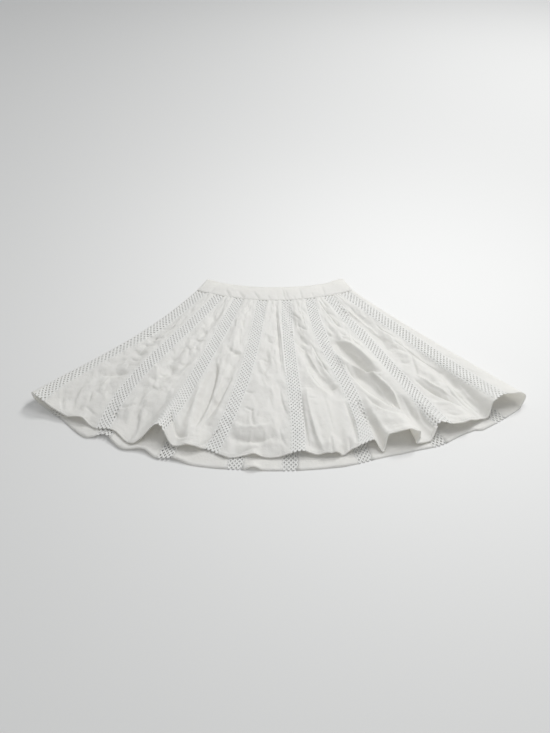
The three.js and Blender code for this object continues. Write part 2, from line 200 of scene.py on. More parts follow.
# Finer creases. Each runs through three places on the fan, and falls away over
# "left" and "right" millimetres on the sides of its line.
CREASE_COLUMNS = ("psi0", "t0", "psi1", "t1", "psi2", "t2", "left", "right", "height")
FRONT_CREASES = [
    # gore_front_1, crosswise dents below the left side
    (-33.1, 0.35, -31.3, 0.33, -29.6, 0.30, 4, 6, -2.4),
    (-33.9, 0.41, -31.8, 0.42, -29.5, 0.40, 6, 12, -5.2),
    (-32.8, 0.47, -31.2, 0.48, -29.8, 0.46, 8, 12, -4.0),
    (-32.6, 0.53, -31.0, 0.55, -29.5, 0.53, 9, 14, -5.0),
    (-34.8, 0.53, -34.7, 0.50, -34.4, 0.47, 5, 5, -2.6),
    (-31.4, 0.59, -30.4, 0.60, -29.2, 0.59, 5, 4, -2.4),
    (-30.9, 0.64, -29.6, 0.63, -28.4, 0.62, 5, 4, -2.0),
    (-33.6, 0.76, -31.4, 0.71, -29.2, 0.69, 15, 8, -5.5),
    (-31.6, 0.70, -31.3, 0.78, -30.4, 0.84, 8, 8, 2.6),
    (-31.9, 0.84, -31.2, 0.87, -30.4, 0.91, 3, 6, -3.0),
    (-35.4, 0.88, -34.4, 0.94, -32.4, 0.99, 7, 3, -3.6),
    (-33.4, 0.82, -33.0, 0.88, -31.6, 0.95, 9, 6, 2.4),
    (-30.4, 0.93, -29.2, 0.95, -27.8, 0.95, 6, 4, -2.6),
    # gore_front_2
    (-21.3, 0.16, -20.7, 0.185, -20.1, 0.20, 7, 12, -4.2),
    (-22.0, 0.27, -20.9, 0.295, -19.9, 0.30, 9, 14, -5.6),
    (-21.9, 0.35, -20.6, 0.365, -18.9, 0.36, 4, 10, -3.4),
    (-22.4, 0.42, -21.0, 0.44, -19.6, 0.42, 5, 10, -1.8),
    (-24.4, 0.50, -23.5, 0.52, -22.7, 0.50, 6, 12, -2.2),
    (-21.8, 0.53, -20.4, 0.545, -18.8, 0.53, 8, 14, -3.0),
    (-24.0, 0.63, -22.8, 0.635, -21.7, 0.61, 5, 12, -2.6),
    (-23.2, 0.56, -21.8, 0.61, -20.2, 0.61, 9, 14, -3.0),
    (-26.4, 0.60, -24.4, 0.62, -22.2, 0.75, 5, 6, 2.2),
    (-23.2, 0.71, -22.0, 0.73, -20.8, 0.70, 8, 14, -3.2),
    (-25.6, 0.86, -24.8, 0.865, -23.4, 0.83, 6, 6, -2.6),
    (-22.5, 0.73, -22.9, 0.80, -22.6, 0.87, 4, 7, 2.2),
    (-22.5, 0.85, -22.2, 0.91, -20.7, 0.96, 16, 3, -5.0),
    (-25.9, 0.87, -25.2, 0.94, -24.3, 1.00, 9, 3, -5.5),
    (-23.9, 0.975, -22.4, 0.985, -20.6, 0.98, 8, 3, -3.4),
    # gore_front_3, with its two grooves that meet
    (-11.2, 0.17, -10.5, 0.21, -9.9, 0.24, 7, 4, -3.6),
    (-10.5, 0.24, -10.2, 0.30, -9.3, 0.38, 4, 3, -2.6),
    (-12.8, 0.375, -10.8, 0.41, -8.5, 0.42, 7, 14, -4.6),
    (-13.6, 0.50, -12.1, 0.66, -12.6, 0.90, 7, 12, -7.5),
    (-9.0, 0.58, -10.0, 0.71, -11.7, 0.89, 4, 7, -4.4),
    (-10.9, 0.58, -11.2, 0.74, -12.1, 0.88, 6, 6, 3.0),
    (-14.9, 0.62, -14.3, 0.76, -14.2, 0.90, 9, 9, 2.4),
    (-17.0, 0.87, -15.2, 0.935, -13.0, 0.955, 15, 5, -8.0),
    (-11.0, 1.00, -9.8, 0.94, -8.5, 0.87, 3, 4, -3.4),
    # gore_front_4, with its long pleat beside the insertion
    (0.3, 0.03, 0.9, 0.27, 1.4, 0.53, 3, 8, -3.8),
    (1.2, 0.03, 1.8, 0.28, 2.2, 0.56, 5, 4, 3.8),
    (1.1, 0.63, 1.3, 0.71, 2.2, 0.79, 3, 5, -3.0),
    (-2.6, 0.30, -1.4, 0.33, -0.2, 0.335, 5, 5, -1.8),
    (-4.4, 0.46, -3.0, 0.45, -1.6, 0.47, 5, 5, -2.0),
    (-5.8, 0.655, -4.8, 0.665, -3.7, 0.665, 6, 6, -2.4),
    (-5.3, 0.755, -4.4, 0.765, -3.6, 0.77, 5, 3, -3.4),
    (-4.0, 0.76, -3.9, 0.81, -3.2, 0.87, 7, 4, -4.2),
    (0.5, 0.84, 1.0, 0.91, 1.8, 0.97, 4, 4, -2.8),
    (-6.8, 0.84, -3.8, 0.865, -0.4, 0.84, 8, 14, 4.0),
    (-7.0, 0.90, -3.8, 0.93, -0.2, 0.905, 20, 12, -9.0),
    (-3.5, 0.88, -3.7, 0.92, -3.8, 0.96, 4, 4, 2.4),
    (-1.6, 0.87, -1.4, 0.91, -1.5, 0.95, 4, 4, 2.0),
    (-7.0, 1.00, -5.0, 0.985, -2.4, 0.955, 3, 4, -3.0),
    # gore_front_5, with the curved fold above its bulge
    (5.2, 0.24, 5.7, 0.31, 7.8, 0.38, 9, 4, -6.5),
    (6.6, 0.11, 7.6, 0.135, 8.6, 0.165, 4, 3, -2.6),
    (7.6, 0.20, 8.8, 0.225, 10.0, 0.25, 4, 4, -3.0),
    (9.8, 0.14, 9.8, 0.18, 9.7, 0.22, 3, 3, -2.2),
    (9.8, 0.34, 10.7, 0.47, 11.8, 0.59, 3, 3, -2.8),
    (8.2, 0.40, 9.2, 0.50, 10.9, 0.605, 12, 11, 7.5),
    (8.4, 0.56, 10.1, 0.64, 12.6, 0.65, 10, 4, -5.0),
    (6.9, 0.46, 7.7, 0.60, 10.2, 0.69, 6, 18, 5.5),
    (6.0, 0.71, 6.9, 0.71, 7.9, 0.71, 3, 3, -2.2),
    (6.8, 0.75, 7.3, 0.75, 7.8, 0.75, 3, 3, -2.0),
    (6.2, 0.64, 6.2, 0.84, 7.4, 1.01, 34, 20, 19.0),
    (5.1, 0.68, 4.9, 0.83, 5.1, 1.02, 4, 6, -4.0),
    (9.4, 0.72, 9.3, 0.83, 9.3, 0.95, 20, 18, 5.0),
    (12.5, 0.74, 12.4, 0.86, 11.8, 0.98, 7, 5, -5.5),
    (8.4, 0.925, 8.2, 0.965, 8.0, 1.01, 6, 4, -5.0),
    (9.5, 0.94, 9.3, 0.975, 9.0, 1.01, 5, 5, 3.0),
    (11.0, 0.94, 10.8, 0.975, 10.5, 1.01, 8, 5, -5.0),
    # gore_front_6, with its long diagonal folds
    (18.6, 0.03, 19.2, 0.15, 19.9, 0.26, 4, 3, -4.0),
    (15.4, 0.28, 16.0, 0.305, 16.7, 0.30, 6, 5, -3.6),
    (18.9, 0.305, 19.8, 0.33, 20.8, 0.335, 8, 5, -3.4),
    (20.9, 0.34, 21.2, 0.40, 21.9, 0.45, 4, 3, -3.2),
    (15.0, 0.34, 17.4, 0.50, 21.2, 0.63, 27, 4, -12.0),
    (16.2, 0.33, 19.8, 0.43, 21.3, 0.60, 13, 8, 6.0),
    (17.2, 0.40, 18.6, 0.445, 19.6, 0.51, 3, 3, 2.0),
    (15.2, 0.44, 18.0, 0.56, 21.6, 0.635, 5, 22, 15.0),
    (19.6, 0.59, 21.3, 0.74, 21.4, 0.90, 6, 26, 13.0),
    (15.9, 0.52, 17.2, 0.68, 20.2, 0.87, 26, 4, -12.0),
    (19.7, 0.65, 19.8, 0.71, 19.7, 0.78, 3, 3, 2.4),
    (16.7, 0.63, 18.6, 0.77, 20.9, 0.89, 5, 14, 10.0),
    (16.7, 0.74, 17.6, 0.81, 19.3, 0.88, 10, 4, -5.0),
    (14.7, 0.74, 15.0, 0.88, 15.8, 1.02, 17, 6, -11.0),
    # gore_front_7
    (24.6, 0.09, 26.3, 0.26, 27.7, 0.48, 14, 5, -9.0),
    (26.0, 0.10, 27.8, 0.24, 28.8, 0.42, 9, 9, 3.6),
    (30.4, 0.29, 30.6, 0.37, 31.4, 0.42, 3, 3, -2.6),
    (30.2, 0.43, 31.1, 0.58, 32.4, 0.72, 3, 4, -3.8),
    (27.0, 0.575, 28.2, 0.59, 29.4, 0.59, 6, 9, -1.8),
    (30.6, 0.54, 29.2, 0.62, 27.6, 0.70, 4, 8, -3.4),
    (26.8, 0.69, 28.0, 0.82, 29.7, 0.92, 9, 6, -8.0),
    (27.8, 0.67, 28.9, 0.79, 30.2, 0.90, 6, 5, 5.0),
    (31.6, 0.72, 31.1, 0.86, 31.3, 0.97, 5, 7, -4.4),
    (32.6, 0.80, 32.2, 0.88, 32.3, 0.96, 4, 6, 3.4),
    (30.4, 0.80, 30.2, 0.87, 30.3, 0.95, 4, 5, -3.4),
    (26.4, 0.93, 27.6, 0.95, 28.8, 0.96, 7, 9, -2.4),
    (23.5, 0.86, 23.4, 0.93, 23.7, 1.00, 6, 3, -4.0),
    (22.4, 0.77, 22.5, 0.87, 22.4, 0.98, 9, 5, -5.0),
]

# Puckers of the waistband, where t runs from -1 at its top to 0 at its seam.
BAND_CREASES = [
    (-29.8, -0.50, -29.4, -0.25, -29.0, -0.02, 3, 4, -2.4),
    (-24.8, -0.60, -22.5, -0.30, -20.2, -0.02, 5, 4, -4.2),
    (-18.6, -0.60, -16.0, -0.30, -13.4, -0.02, 4, 5, -3.2),
    (-11.0, -0.60, -9.0, -0.35, -6.9, -0.05, 5, 5, -3.8),
    (-15.6, -0.35, -14.8, -0.20, -14.0, -0.02, 3, 4, -2.0),
    (-3.6, -0.40, -2.8, -0.25, -2.0, -0.02, 3, 4, -2.2),
    (1.2, -0.70, 1.1, -0.40, 1.3, -0.05, 3, 3, -1.6),
    (4.1, -0.85, 4.4, -0.40, 4.8, -0.02, 3, 4, -3.8),
    (5.5, -0.80, 5.8, -0.40, 6.2, -0.05, 3, 4, -2.8),
    (9.0, -0.30, 8.9, -0.18, 8.7, -0.02, 3, 4, -2.2),
    (13.0, -0.80, 12.6, -0.40, 12.4, -0.02, 3, 4, -3.2),
    (18.4, -0.45, 17.8, -0.25, 17.2, -0.02, 3, 5, -2.4),
    (24.6, -0.80, 23.4, -0.40, 22.6, -0.05, 4, 4, -2.6),
]

CREASE_STEPS = 10  # straight steps of a crease's path
CREASE_SHARPNESS = 1.5
CREASE_SWELL = 0.6  # less makes a crease reach its full height sooner

# The crumpling. Smooth noise has a height, a width across the cloth and a length down it. Facets
# have a width, a length, the turn of their pattern in degrees, and a height.
BEND_ACROSS = (6, 40, 50)
BEND_DOWN = (9, 36, 44)
DENTS = (1.3, 46, 74)
CRUMPLES = [(34, 58, 20, 2.6), (18, 27, -35, 2.2), (9, 13, 12, 0.8)]

# Smooth places on the front: the middle of each on the fan, and how far it reaches.
CALM = [
    (9.0, 0.80, 70),
    (8.4, 0.70, 50),
    (19.4, 0.50, 45),
    (19.6, 0.72, 50),
    (-3.0, 0.70, 40),
    (-11.8, 0.30, 35),
]
CALM_STRENGTH = 0.7
CALM_EDGE = 2

PLUMP_FROM = -4  # from an insertion's edge to where a gore's crumpling starts to grow
PLUMP_TO = 14  # and to where it is full
BAND_EASE = 0.04  # share of the length below the waistband that it holds flat
ROLL_SHARE = 0.6  # of the front's crumpling on the rolled sides
BACK_SHARE = 0.4  # of the crumpling on the back

# ---- Helpers ----


def table(columns, rows):
    """Each column by name, as an array with one value a row."""
    return dict(zip(columns, np.array(rows, float).T))


FRONT_HEM = table(HEM_COLUMNS, FRONT_HEM)
BACK_HEM = table(HEM_COLUMNS, BACK_HEM)
INSERTIONS = {name: dict(zip(INSERTION_COLUMNS, row)) for name, row in INSERTIONS.items()}


def lerp(a, b, share):
    """a at share 0 and b at share 1."""
    return a + (b - a) * share


def smoothstep(x, low, high):
    """0 below low and 1 above high, with a smooth step between them."""
    share = np.clip((x - low) / (high - low), 0, 1)
    return share * share * (3 - 2 * share)


def along(row, t):
    """A row's value at t, as on the solids."""
    third = 3 * t
    below = (
        row["waist"] * (1 - third) * (2 - third) * (3 - third) / 6
        + row["upper"] * third * (2 - third) * (3 - third) / 2
        + row["lower"] * third * (third - 1) * (3 - third) / 2
        + row["hem"] * third * (third - 1) * (third - 2) / 6
    )
    return np.where(t < 0, lerp(row["waist"], row.get("top", row["waist"]), -t), below)


def mean_radius(t):
    """Distance of t from the fan's point, on the mean of front and back."""
    return np.where(
        t < 0, lerp(MEAN["seam"], MEAN["top"], -t), lerp(MEAN["seam"], MEAN["hem"], t)
    )


def at_least(value, floor):
    """Never less than floor, and with no corner where it meets it."""
    over = value - floor
    return floor + (over + np.sqrt(over * over + 1)) / 2


NOISE_CELLS = 64
NOISE_GAIN = 1.6


def cell_of(x, y):
    """The lattice cell in which each place lies, and the place inside its cell."""
    left, low = np.floor(x).astype(int), np.floor(y).astype(int)
    return left, low, x - left, y - low


def gradient_noise(x, y, seed):
    """Smooth noise from about -1 to 1, with features of about one unit."""
    rng = np.random.default_rng(seed)
    angles = rng.uniform(0, 2 * math.pi, (NOISE_CELLS, NOISE_CELLS))
    left, low, across, up = cell_of(x, y)

    def corner(i, j):
        angle = angles[(low + j) % NOISE_CELLS, (left + i) % NOISE_CELLS]
        return np.cos(angle) * (across - i) + np.sin(angle) * (up - j)

    ease_x = across**3 * (across * (6 * across - 15) + 10)
    ease_y = up**3 * (up * (6 * up - 15) + 10)
    bottom = lerp(corner(0, 0), corner(1, 0), ease_x)
    top = lerp(corner(0, 1), corner(1, 1), ease_x)
    return NOISE_GAIN * lerp(bottom, top, ease_y)


def facets(x, y, seed):
    """Flat facets from -1 to 1 high that meet in straight creases, about one unit across."""
    values = np.random.default_rng(seed).uniform(-1, 1, (NOISE_CELLS, NOISE_CELLS))
    skew = (x + y) * (math.sqrt(3) - 1) / 2
    left, low, across, up = cell_of(x + skew, y + skew)

    def corner(i, j):
        return values[(low + j) % NOISE_CELLS, (left + i) % NOISE_CELLS]

    near, far = corner(0, 0), corner(1, 1)
    lower = near + across * (corner(1, 0) - near) + up * (far - corner(1, 0))
    upper = near + up * (corner(0, 1) - near) + across * (far - corner(0, 1))
    return np.where(across > up, lower, upper)


# ---- The cloth ----


def hem_wave(hem, psi, t):
    """How a hem's crests and troughs act on the cloth. open is 0 on plain cloth, 1 at the hem."""
    last = len(hem["psi"]) - 1
    after = np.searchsorted(hem["psi"], psi, side="right")
    before = np.where(after > last, last, np.maximum(after - 1, 0))
    after = np.minimum(after, last)
    low, high = hem["psi"][before], hem["psi"][after]
    share = smoothstep(psi, low, np.where(high > low, high, low + 1))

    def mixed(name):
        return lerp(hem[name][before], hem[name][after], share)

    start = mixed("start")
    opened = np.maximum((t - start) / (1 - start), 0) ** OPENING
    return {
        "open": opened,
        "height": mixed("height"),
        "reach": mixed("reach") * opened,
        "lean": mixed("lean") * opened,
    }


def fold_height(fold, psi, t):
    """Height of one large fold: a hump across it that swells and fades along it."""
    fold = dict(zip(FOLD_COLUMNS, fold))
    run = np.clip((t - fold["t0"]) / (fold["t1"] - fold["t0"]), 0, 1)
    offset = np.radians(psi - lerp(fold["psi0"], fold["psi1"], run)) * mean_radius(t)
    across = np.clip(2 * offset / lerp(fold["width0"], fold["width1"], run), -1, 1)
    return fold["height"] * np.sin(math.pi * run) * (1 + np.cos(math.pi * across)) / 2


def plan(psi, t):
    """A place on the flat fan, in millimetres."""
    radius = mean_radius(t)
    return radius * np.sin(np.radians(psi)), -radius * np.cos(np.radians(psi))


def crease_path(crease):
    """Points along a crease's curve, on the flat fan."""
    start, middle, end = (
        np.array(plan(np.array(crease[f"psi{k}"]), np.array(crease[f"t{k}"]))) for k in range(3)
    )
    control = 2 * middle - (start + end) / 2
    share = np.linspace(0, 1, CREASE_STEPS + 1)[:, None]
    return (1 - share) ** 2 * start + 2 * share * (1 - share) * control + share**2 * end


def nearest_on(path, place):
    """For each place, its distance from a path, above 0 on the left, and how far along it is."""
    nearest = np.full(len(place), np.inf)
    offset = np.zeros(len(place))
    run = np.zeros(len(place))
    for k in range(CREASE_STEPS):
        step = path[k + 1] - path[k]
        length = np.hypot(*step)
        ahead = (place - path[k]) @ step / length**2
        aside = ((place - path[k]) @ np.array([-step[1], step[0]])) / length
        beyond = (ahead - np.clip(ahead, 0, 1)) * length
        distance = np.hypot(aside, beyond)
        closer = distance < nearest
        nearest = np.where(closer, distance, nearest)
        offset = np.where(closer, np.where(aside < 0, -distance, distance), offset)
        run = np.where(closer, (k + np.clip(ahead, 0, 1)) / CREASE_STEPS, run)
    return offset, run


def crease_height(crease, x, y):
    """Height of one fine crease at places on the flat fan."""
    crease = dict(zip(CREASE_COLUMNS, crease))
    path = crease_path(crease)
    reach = max(crease["left"], crease["right"])
    place = np.stack([x, y], -1)
    near = ((place > path.min(axis=0) - reach) & (place < path.max(axis=0) + reach)).all(axis=-1)
    offset, run = nearest_on(path, place[near])
    width = np.where(offset > 0, crease["left"], crease["right"])
    across = np.clip(np.abs(offset) / width, 0, 1)
    swelling = np.clip(np.sin(math.pi * run), 0, 1) ** CREASE_SWELL
    height = np.zeros_like(x)
    height[near] = crease["height"] * swelling * (1 - across) ** CREASE_SHARPNESS
    return height


FRONT_NAMES = [name for name in INSERTIONS if name.startswith("front")]
BACK_NAMES = [name for name in INSERTIONS if name.startswith("back")]

# How far each layer crumples: at least so much, and so much more between its insertions.
FRONT = {"insertions": FRONT_NAMES, "seed": 20, "least": 0.35, "more": 0.65}
BACK = {"insertions": BACK_NAMES, "seed": 40, "least": 0.25, "more": 0.45}


def between_insertions(names, psi, t):
    """0 on an insertion, 1 well inside a gore."""
    away = np.min([np.abs(psi - along(INSERTIONS[name], t)) for name in names], axis=0)
    edge = LACE_WIDTH / 2
    return smoothstep(np.radians(away) * mean_radius(t), edge + PLUMP_FROM, edge + PLUMP_TO)


def smooth_noise(size, across, down, seed):
    """Smooth noise of a height, with features of a width and a length."""
    height, width, length = size
    return height * gradient_noise(across / width, down / length, seed)


def crumple(psi, t, seed):
    """Small irregular dents and flat facets, longer down the cloth than across it."""
    across = np.radians(psi) * MEAN["hem"]
    down = mean_radius(t)
    across = across + smooth_noise(BEND_ACROSS, across, down, seed)
    down = down + smooth_noise(BEND_DOWN, across, down, seed + 1)
    height = smooth_noise(DENTS, across, down, seed + 2)
    for k, (width, length, turn, rise) in enumerate(CRUMPLES):
        turn = math.radians(turn)
        aside = (across * math.cos(turn) + down * math.sin(turn)) / width
        ahead = (down * math.cos(turn) - across * math.sin(turn)) / length
        height = height + rise * facets(aside, ahead, seed + 3 + k)
    return height


def crumpling(layer, psi, t):
    """A layer's crumpling, at its least on the insertions."""
    share = layer["least"] + layer["more"] * between_insertions(layer["insertions"], psi, t)
    return crumple(psi, t, layer["seed"]) * share


def calm(x, y):
    """1 on plain cloth, less on its smooth places."""
    share = np.ones_like(x)
    for psi, t, reach in CALM:
        middle = plan(np.array(psi), np.array(t))
        away = ((x - middle[0]) ** 2 + (y - middle[1]) ** 2) / reach**2
        share = share * (1 - CALM_STRENGTH * np.exp(-CALM_EDGE * away))
    return share


def laid_front(rolled, down, over, crumpled, floor, psi, t):
    """Height of the front where it lies on the back, with its folds, creases and flutes."""
    x, y = plan(psi, t)
    large = sum(fold_height(fold, psi, t) for fold in FOLDS + SOFT_FOLDS)
    small = sum(crease_height(crease, x, y) for crease in FRONT_CREASES) + crumpled
    puckers = sum(crease_height(crease, x, y) for crease in BAND_CREASES)
    body = lerp(along(BODY_RISE, t), over["height"], over["open"])
    laid = at_least(lerp(rolled, body, down) + large, floor)
    fine = np.where(t < 0, puckers, small * smoothstep(t, 0, BAND_EASE))
    return at_least(laid + fine, floor)


def fan_radius(side, psi, t, front):
    """Distance from the fan's point, before the hem's waves reach out or in."""
    out = np.minimum(np.abs(psi) / along(side["edge"], t), 1) ** 2
    seam = lerp(WAIST["centre"], WAIST["edge"], out)
    band = lerp(seam, lerp(TOP["centre"], TOP["edge"], out), -t)
    side_hem = HEM["left"] if side is LEFT else HEM["right"]
    hem = lerp(np.where(front, HEM["front"], HEM["back"]), side_hem, out)
    return np.where(t < 0, band, lerp(seam, hem, t))


def cloth(side, s, t, lift=0.0, wall=WALL):
    """Points of the cloth's middle surface, in millimetres."""
    s, t = np.broadcast_arrays(np.asarray(s, float), np.asarray(t, float))
    radius = along(side["roll"], t)
    quarter = radius * math.pi / 2
    turned = np.minimum(np.abs(s), quarter) / radius
    flat = np.maximum(np.abs(s) - quarter, 0)
    inward = radius * (1 - np.cos(turned)) + flat
    psi = side["sign"] * (along(side["edge"], t) - np.degrees(inward / mean_radius(t)))
    front = s > 0
    settled = smoothstep(flat, 0, FALL)
    loose = smoothstep(np.abs(s), 0, FALL)
    below_band = smoothstep(t, 0, BAND_EASE)
    under = hem_wave(BACK_HEM, psi, t)
    over = hem_wave(FRONT_HEM, psi, t)

    raised = under["height"] * under["open"]
    rolled = wall / 2 + radius * (1 + np.sign(s) * np.sin(turned))
    crumpled = crumpling(FRONT, psi, t) * calm(*plan(psi, t))
    shelf = along(side["shelf"], t)
    down = smoothstep(flat, shelf, shelf + FALL)
    floor = wall / 2 + raised + WALL + LAYER_GAP
    laid = laid_front(rolled, down, over, crumpled, floor, psi, t)
    top = lerp(rolled + crumpled * ROLL_SHARE * loose * below_band, laid, settled)
    dents = np.maximum(crumpling(BACK, psi, t), 0) * below_band * BACK_SHARE
    bottom = rolled + settled * (raised + dents)
    height = np.where(front, top, bottom) + np.where(t < 0, 0, lift)

    lean = loose * np.where(front, over["lean"], under["lean"])
    reach = loose * np.where(front, over["reach"], under["reach"])
    angle = np.radians(psi) + lean / mean_radius(t)
    fan = fan_radius(side, psi, t, front) + reach
    return np.stack([FAN[0] + fan * np.sin(angle), FAN[1] - fan * np.cos(angle), height], -1)


def cloth_distance(side, psi, t):
    """Distance along the cloth from a side's outermost line to the place at psi on one layer."""
    radius = along(side["roll"], t)
    inward = np.radians(along(side["edge"], t) - side["sign"] * psi) * mean_radius(t)
    on_roll = radius * np.arccos(1 - np.clip(inward / radius, 0, 1))
    return np.where(inward < radius, on_roll, inward + radius * (math.pi / 2 - 1))


def centre_line(side, name, t):
    """Signed distance of an insertion's centre line from a side's outermost line."""
    distance = cloth_distance(side, along(INSERTIONS[name], t), t)
    return distance if name in FRONT_NAMES else -distance


def nearer_side(name):
    """The side of the skirt on which an insertion is."""
    return LEFT if INSERTIONS[name]["hem"] < 0 else RIGHT


# ---- Meshes ----


def add_mesh(name, points, faces, material, smooth=True):
    """A new object of points in millimetres and faces."""
    mesh = bpy.data.meshes.new(name)
    mesh.from_pydata((points * MM).tolist(), [], faces.tolist())
    mesh.materials.append(material)
    mesh.polygons.foreach_set("use_smooth", np.full(len(mesh.polygons), smooth))
    mesh.update()
    piece = bpy.data.objects.new(name, mesh)
    bpy.context.scene.collection.objects.link(piece)
    return piece


def normals_of(grid):
    """Outward normals of a grid of points, rows down the cloth and columns along it."""
    along_row = np.gradient(grid, axis=1)
    down = np.gradient(grid, axis=0)
    out = np.cross(down, along_row)
    return out / np.linalg.norm(out, axis=-1, keepdims=True)


def shell_faces(rows, columns):
    """Quads of a closed shell of two grids, the outer one first."""
    cell = np.arange((rows - 1) * columns).reshape(rows - 1, columns)[:, :-1].ravel()
    inner = rows * columns
    outer_side = np.stack([cell, cell + columns, cell + columns + 1, cell + 1], -1)
    inner_side = inner + outer_side[:, ::-1]
    left = np.arange(rows - 1) * columns
    right = left + columns - 1
    top = np.arange(columns - 1)
    bottom = (rows - 1) * columns + top
    edges = [
        np.stack([left, inner + left, inner + left + columns, left + columns], -1),
        np.stack([right, right + columns, inner + right + columns, inner + right], -1),
        np.stack([top, top + 1, inner + top + 1, inner + top], -1),
        np.stack([bottom, inner + bottom, inner + bottom + 1, bottom + 1], -1),
    ]
    return np.concatenate([outer_side, inner_side, *edges])


def shell(grid, thickness):
    """Points and faces of a closed shell round a grid of points."""
    out = normals_of(grid)
    thickness = np.broadcast_to(np.asarray(thickness, float), grid.shape[:2])[..., None]
    outer = grid + out * (thickness / 2)
    inner = grid - out * (thickness / 2)
    points = np.concatenate([outer.reshape(-1, 3), inner.reshape(-1, 3)])
    return points, shell_faces(*grid.shape[:2])


def joined(parts):
    """Several (points, faces) pairs as one."""
    points, faces, count = [], [], 0
    for part_points, part_faces in parts:
        points.append(part_points)
        faces.append(part_faces + count)
        count += len(part_points)
    return np.concatenate(points), np.concatenate(faces)


NORMAL_STEP = 0.5  # to the places between which a slope is measured


def outward(side, s, t, wall=WALL):
    """Unit normals of the cloth's outer side."""
    aside = NORMAL_STEP
    ahead = NORMAL_STEP / LENGTH
    beside = cloth(side, s - aside, t, 0, wall) - cloth(side, s + aside, t, 0, wall)
    down = cloth(side, s, t + ahead, 0, wall) - cloth(side, s, t - ahead, 0, wall)
    out = np.cross(down, side["sign"] * beside)
    return out / np.linalg.norm(out, axis=-1, keepdims=True)


def end_caps(sides, last):
    """Quads that close the two ends of a tube with an even number of sides."""
    fans = [(0, k, k + 1, k + 2) for k in range(1, sides - 1, 2)]
    near = [fan[::-1] for fan in fans]
    far = [[last + k for k in fan] for fan in fans]
    return np.array(near + far)


def strands(centres, out, size, sides):
    """Closed flattened tubes along rows of centres. size is half the width and half the height."""
    forward = np.gradient(centres, axis=1)
    forward /= np.linalg.norm(forward, axis=-1, keepdims=True)
    aside = np.cross(out, forward)
    aside /= np.linalg.norm(aside, axis=-1, keepdims=True)
    up = np.cross(forward, aside)
    turns = np.arange(sides) * 2 * math.pi / sides
    ring = (
        centres[:, :, None]
        + size[0] * np.cos(turns)[:, None] * aside[:, :, None]
        + size[1] * np.sin(turns)[:, None] * up[:, :, None]
    )
    count, length = centres.shape[:2]
    first = np.arange(length - 1)[:, None] * sides
    k = np.arange(sides)[None]
    after = (k + 1) % sides
    quads = np.stack([first + k, first + after, first + sides + after, first + sides + k], -1)
    one = np.concatenate([quads.reshape(-1, 4), end_caps(sides, (length - 1) * sides)])
    faces = np.concatenate([one + tube * length * sides for tube in range(count)])
    return ring.reshape(-1, 3), faces


# size is half of a stitch's width and height.
STITCH = {"pitch": 3.6, "length": 2.6, "size": (0.4, 0.25), "sides": 4}


def stitches(side, line, length, lift, wall=WALL):
    """Raised stitches along a line of the cloth. line gives s and t at shares of its length."""
    count = int(length / STITCH["pitch"])
    half = STITCH["length"] / 2 / length
    share = (np.arange(count)[:, None] + 0.5) / count + np.array([[-half, 0, half]])
    s, t = line(share)
    out = outward(side, s, t, wall)
    centres = cloth(side, s, t, 0, wall) + lift * out
    return strands(centres, out, STITCH["size"], STITCH["sides"])


# ---- Materials ----

CREAM = (1, 0.98, 0.93, 1)  # the tint of light that shines through the cloth
TONE_STOPS = (0.3, 0.7)


def new_material(name, colour, roughness, sheen, see_through=0.0):
    """A material, its node tree and its main shader. see_through is its translucent share."""
    material = bpy.data.materials.new(name)
    material.use_nodes = True
    tree = material.node_tree
    shader = tree.nodes["Principled BSDF"]
    shader.inputs["Base Color"].default_value = (*colour, 1)
    shader.inputs["Roughness"].default_value = roughness
    shader.inputs["Sheen Weight"].default_value = sheen
    shader.inputs["Sheen Roughness"].default_value = 0.6
    shader.inputs["Specular IOR Level"].default_value = 0.2
    if see_through:
        glow = tree.nodes.new("ShaderNodeBsdfTranslucent")
        glow.inputs["Color"].default_value = CREAM
        both = tree.nodes.new("ShaderNodeMixShader")
        both.inputs["Fac"].default_value = see_through
        tree.links.new(shader.outputs["BSDF"], both.inputs[1])
        tree.links.new(glow.outputs["BSDF"], both.inputs[2])
        surface = tree.nodes["Material Output"].inputs["Surface"]
        tree.links.new(both.outputs["Shader"], surface)
    return material, tree, shader


def texture(tree, kind, **settings):
    """A texture that lies in the object's own space."""
    place = tree.nodes.new("ShaderNodeTexCoord")
    pattern = tree.nodes.new(kind)
    for name, value in settings.items():
        pattern.inputs[name].default_value = value
    tree.links.new(place.outputs["Object"], pattern.inputs["Vector"])
    return pattern


def relief(tree, height, strength, distance, beneath=None):
    """A normal for a height. beneath is a coarser normal that it is laid over."""
    bump = tree.nodes.new("ShaderNodeBump")
    bump.inputs["Strength"].default_value = strength
    bump.inputs["Distance"].default_value = distance
    tree.links.new(height, bump.inputs["Height"])
    if beneath is not None:
        tree.links.new(beneath, bump.inputs["Normal"])
    return bump.outputs["Normal"]


def uneven_tone(tree, height, dark, light):
    """A colour between dark and light, by height."""
    ramp = tree.nodes.new("ShaderNodeValToRGB")
    for stop, position, colour in zip(ramp.color_ramp.elements, TONE_STOPS, (dark, light)):
        stop.position = position
        stop.color = (*colour, 1)
    tree.links.new(height, ramp.inputs["Fac"])
    return ramp.outputs["Color"]


def cotton_material():
    """Plain weave, a little uneven in tone, with small soft crumples."""
    material, tree, shader = new_material("cotton", (0.8, 0.8, 0.775), 0.9, 0.1, 0.42)
    tone = texture(tree, "ShaderNodeTexNoise", Scale=60, Detail=6)
    crumples = texture(tree, "ShaderNodeTexNoise", Scale=120, Detail=5, Roughness=0.6)
    weave = texture(tree, "ShaderNodeTexVoronoi", Scale=1500)
    colour = uneven_tone(tree, tone.outputs["Fac"], (0.94, 0.94, 0.925), (0.98, 0.98, 0.97))
    rough = relief(tree, crumples.outputs["Fac"], 0.7, 0.0022)
    fine = relief(tree, weave.outputs["Distance"], 0.25, 0.0003, rough)
    tree.links.new(colour, shader.inputs["Base Color"])
    tree.links.new(fine, shader.inputs["Normal"])
    return material


